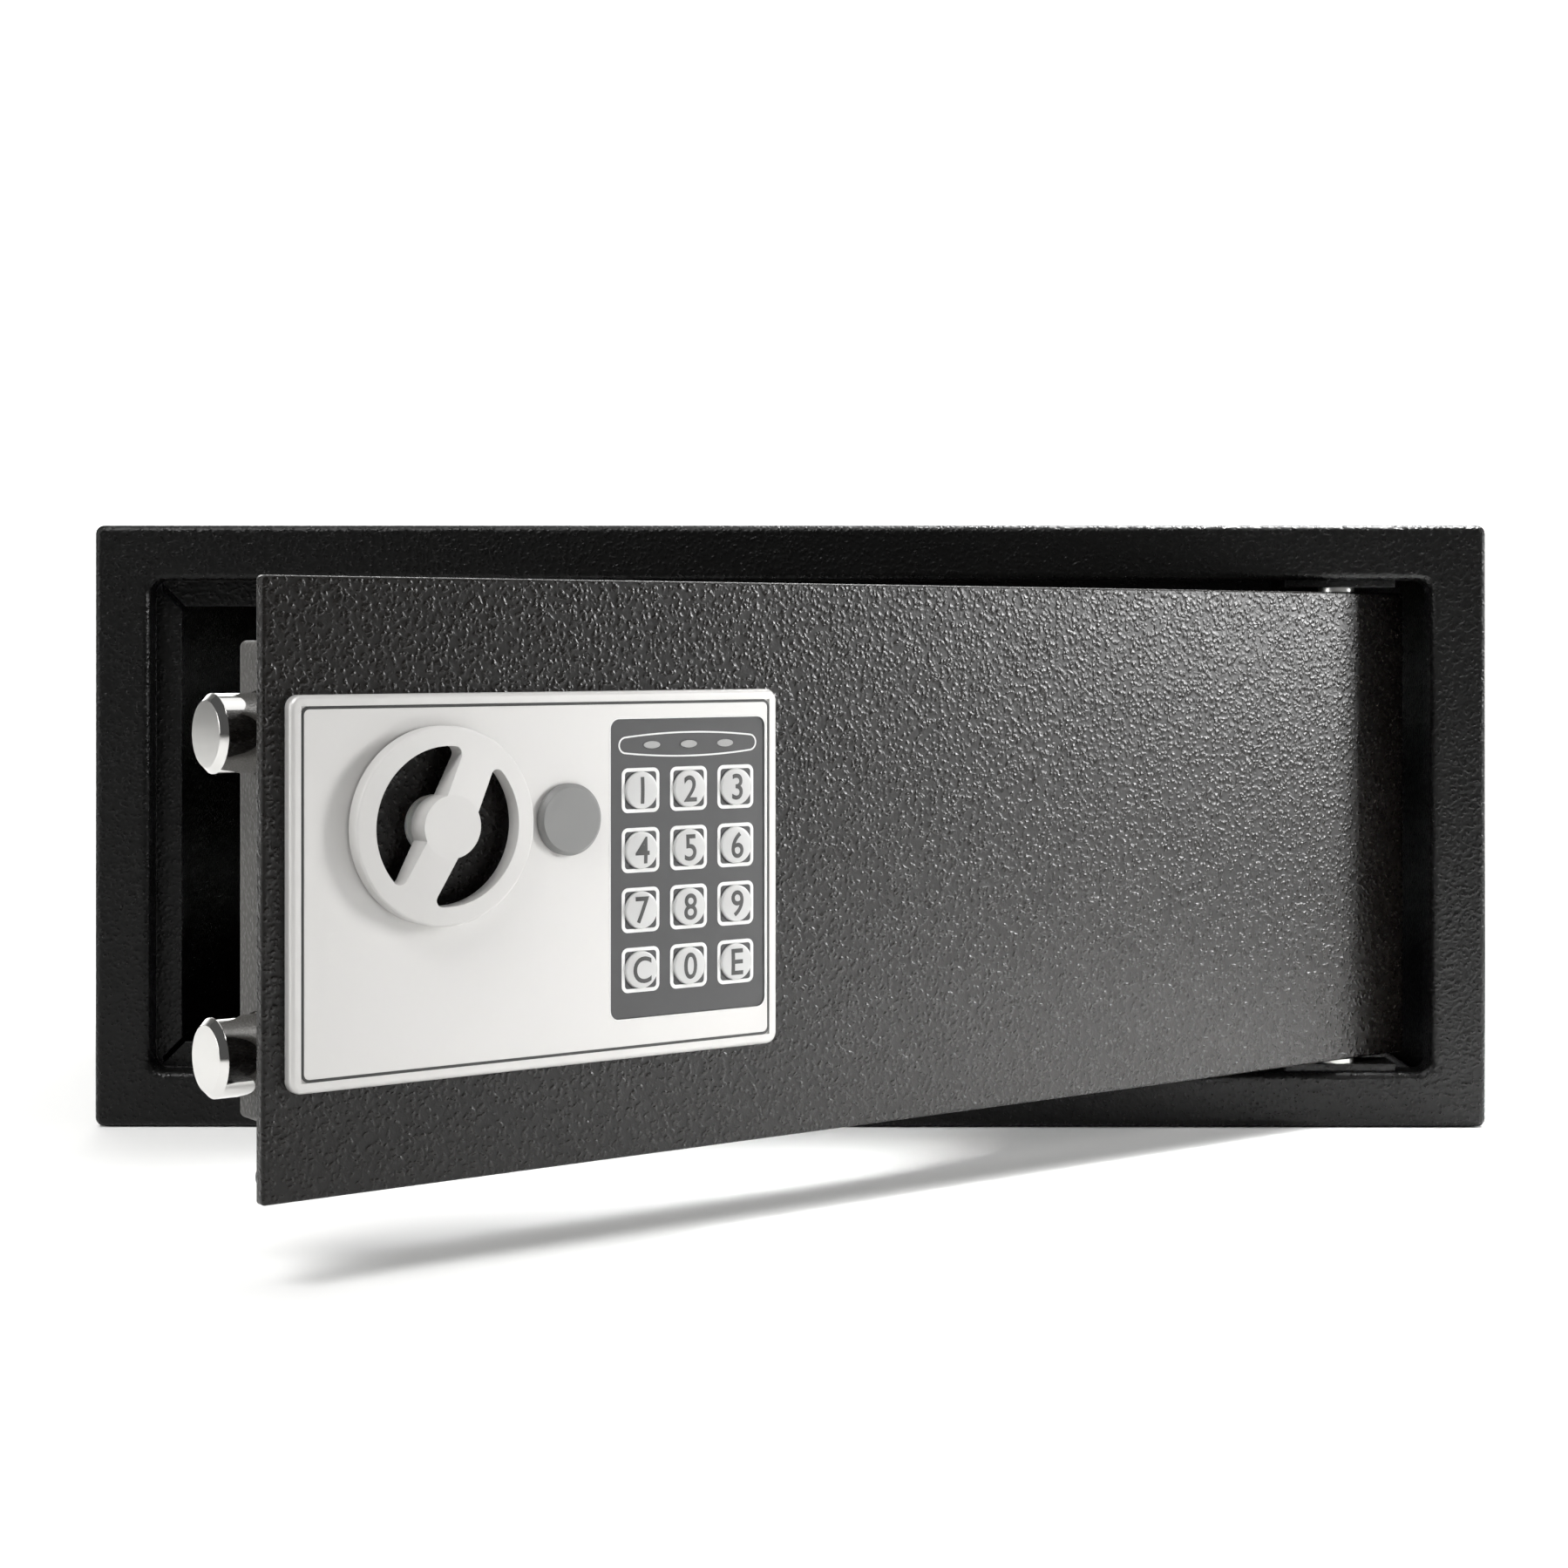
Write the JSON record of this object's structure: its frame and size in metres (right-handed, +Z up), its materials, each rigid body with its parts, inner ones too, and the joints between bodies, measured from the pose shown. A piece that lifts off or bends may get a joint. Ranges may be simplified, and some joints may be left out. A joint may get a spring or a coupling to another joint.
{
  "type": "in room safe",
  "caption": "Low steel safe for a hotel room with a hinged front door, a ring knob that draws two round bolts, and a keypad with a key override.",
  "frame": {"origin": "on the underside, below the middle of the front face", "axes": "+X right as seen from the front, +Y into the safe, +Z up"},
  "size_m": [0.43, 0.5807, 0.186],
  "materials": {
    "black_coat": "wrinkle powder coat",
    "grey_coat": "wrinkle powder coat",
    "felt": "needle felt",
    "chrome": "polished",
    "zinc": "zinc plated",
    "brass": "machined",
    "rubber": "matt",
    "nylon": "matt",
    "silver_paint": "satin silver paint",
    "overlay_grey": "fine matt",
    "key_plastic": "satin",
    "cap_grey": "fine matt",
    "lens": "satin",
    "board_green": "solder mask",
    "switch_black": "moulded",
    "cell_wrap": "shrink film",
    "reset_red": "satin"
  },
  "bodies": {
    "safe": {"front_frame": "black_coat", "body_wrap": "black_coat", "back_panel": "black_coat", "floor_mat": "felt", "hinge_brackets": "black_coat", "hinge_pins": "zinc", "hinge_washers": "zinc"},
    "door": {"door_plate": "black_coat", "door_hinge_lugs": "black_coat", "lock_box": "grey_coat", "lock_box_posts": "zinc", "door_bumper": "rubber", "bolt_guides": "nylon", "panel_housing": "silver_paint", "keypad_overlay": "overlay_grey", "indicator_lenses": "lens", "keypad_board": "board_green", "keypad_switches": "switch_black", "lock_body": "zinc", "lock_nut": "zinc", "control_board": "board_green", "board_posts": "zinc", "solenoid_frame": "zinc", "solenoid_coil": "cell_wrap", "battery_tray": "switch_black", "batteries": "cell_wrap", "knob_bush": "nylon"},
    "knob": {"knob": "silver_paint", "knob_spindle": "zinc", "cam_disc": "zinc"},
    "bolts": {"bolt_upper": "chrome", "bolt_lower": "chrome", "bolt_carriage": "zinc"},
    "key_1": {"key_1": "key_plastic"},
    "key_2": {"key_2": "key_plastic"},
    "key_3": {"key_3": "key_plastic"},
    "key_4": {"key_4": "key_plastic"},
    "key_5": {"key_5": "key_plastic"},
    "key_6": {"key_6": "key_plastic"},
    "key_7": {"key_7": "key_plastic"},
    "key_8": {"key_8": "key_plastic"},
    "key_9": {"key_9": "key_plastic"},
    "key_c": {"key_c": "key_plastic"},
    "key_0": {"key_0": "key_plastic"},
    "key_e": {"key_e": "key_plastic"},
    "lock_cap": {"lock_cap": "cap_grey"},
    "override_plug": {"override_plug": "brass"},
    "plunger": {"solenoid_plunger": "zinc"},
    "battery_cover": {"battery_cover": "switch_black"},
    "reset_button": {"reset_button": "reset_red"}
  },
  "joints": [
    {"name": "door_hinge", "type": "hinge", "parent": "safe", "child": "door", "pos_m": [0.17025, 0.0083, 0.093], "axis": [0, 0, 1], "range_deg": [-36, 64]},
    {"name": "knob_turn", "type": "hinge", "parent": "door", "child": "knob", "pos_m": [-0.08343, -0.18849, 0.1064], "axis": [-0.5878, 0.809, 0], "range_deg": [0, 65]},
    {"name": "bolt_slide", "type": "slide", "parent": "door", "child": "bolts", "axis": [0.809, 0.5878, 0], "range_m": [0, 0.015]},
    {"name": "key_1_press", "type": "slide", "parent": "door", "child": "key_1", "axis": [-0.5878, 0.809, 0], "range_m": [0, 0.0008], "stiffness_N_per_m": 300, "springref_m": -0.0003},
    {"name": "key_2_press", "type": "slide", "parent": "door", "child": "key_2", "axis": [-0.5878, 0.809, 0], "range_m": [0, 0.0008], "stiffness_N_per_m": 300, "springref_m": -0.0003},
    {"name": "key_3_press", "type": "slide", "parent": "door", "child": "key_3", "axis": [-0.5878, 0.809, 0], "range_m": [0, 0.0008], "stiffness_N_per_m": 300, "springref_m": -0.0003},
    {"name": "key_4_press", "type": "slide", "parent": "door", "child": "key_4", "axis": [-0.5878, 0.809, 0], "range_m": [0, 0.0008], "stiffness_N_per_m": 300, "springref_m": -0.0003},
    {"name": "key_5_press", "type": "slide", "parent": "door", "child": "key_5", "axis": [-0.5878, 0.809, 0], "range_m": [0, 0.0008], "stiffness_N_per_m": 300, "springref_m": -0.0003},
    {"name": "key_6_press", "type": "slide", "parent": "door", "child": "key_6", "axis": [-0.5878, 0.809, 0], "range_m": [0, 0.0008], "stiffness_N_per_m": 300, "springref_m": -0.0003},
    {"name": "key_7_press", "type": "slide", "parent": "door", "child": "key_7", "axis": [-0.5878, 0.809, 0], "range_m": [0, 0.0008], "stiffness_N_per_m": 300, "springref_m": -0.0003},
    {"name": "key_8_press", "type": "slide", "parent": "door", "child": "key_8", "axis": [-0.5878, 0.809, 0], "range_m": [0, 0.0008], "stiffness_N_per_m": 300, "springref_m": -0.0003},
    {"name": "key_9_press", "type": "slide", "parent": "door", "child": "key_9", "axis": [-0.5878, 0.809, 0], "range_m": [0, 0.0008], "stiffness_N_per_m": 300, "springref_m": -0.0003},
    {"name": "key_c_press", "type": "slide", "parent": "door", "child": "key_c", "axis": [-0.5878, 0.809, 0], "range_m": [0, 0.0008], "stiffness_N_per_m": 300, "springref_m": -0.0003},
    {"name": "key_0_press", "type": "slide", "parent": "door", "child": "key_0", "axis": [-0.5878, 0.809, 0], "range_m": [0, 0.0008], "stiffness_N_per_m": 300, "springref_m": -0.0003},
    {"name": "key_e_press", "type": "slide", "parent": "door", "child": "key_e", "axis": [-0.5878, 0.809, 0], "range_m": [0, 0.0008], "stiffness_N_per_m": 300, "springref_m": -0.0003},
    {"name": "cap_pull", "type": "slide", "parent": "door", "child": "lock_cap", "axis": [0.5878, -0.809, 0], "range_m": [0, 0.01]},
    {"name": "plug_turn", "type": "hinge", "parent": "door", "child": "override_plug", "pos_m": [-0.05662, -0.16432, 0.1064], "axis": [0.5878, -0.809, 0], "range_deg": [0, 90]},
    {"name": "plunger_lift", "type": "slide", "parent": "door", "child": "plunger", "axis": [0, 0, -1], "range_m": [-0.004, 0]},
    {"name": "cover_slide", "type": "slide", "parent": "door", "child": "battery_cover", "axis": [0.809, 0.5878, 0], "range_m": [0, 0.045]},
    {"name": "reset_press", "type": "slide", "parent": "door", "child": "reset_button", "axis": [0.5878, -0.809, 0], "range_m": [0, 0.001], "stiffness_N_per_m": 300, "springref_m": -0.0003}
  ],
  "couplings": [
    {"joint": "bolt_slide", "follows": "knob_turn", "m_per_rad": 0.013222}
  ]
}
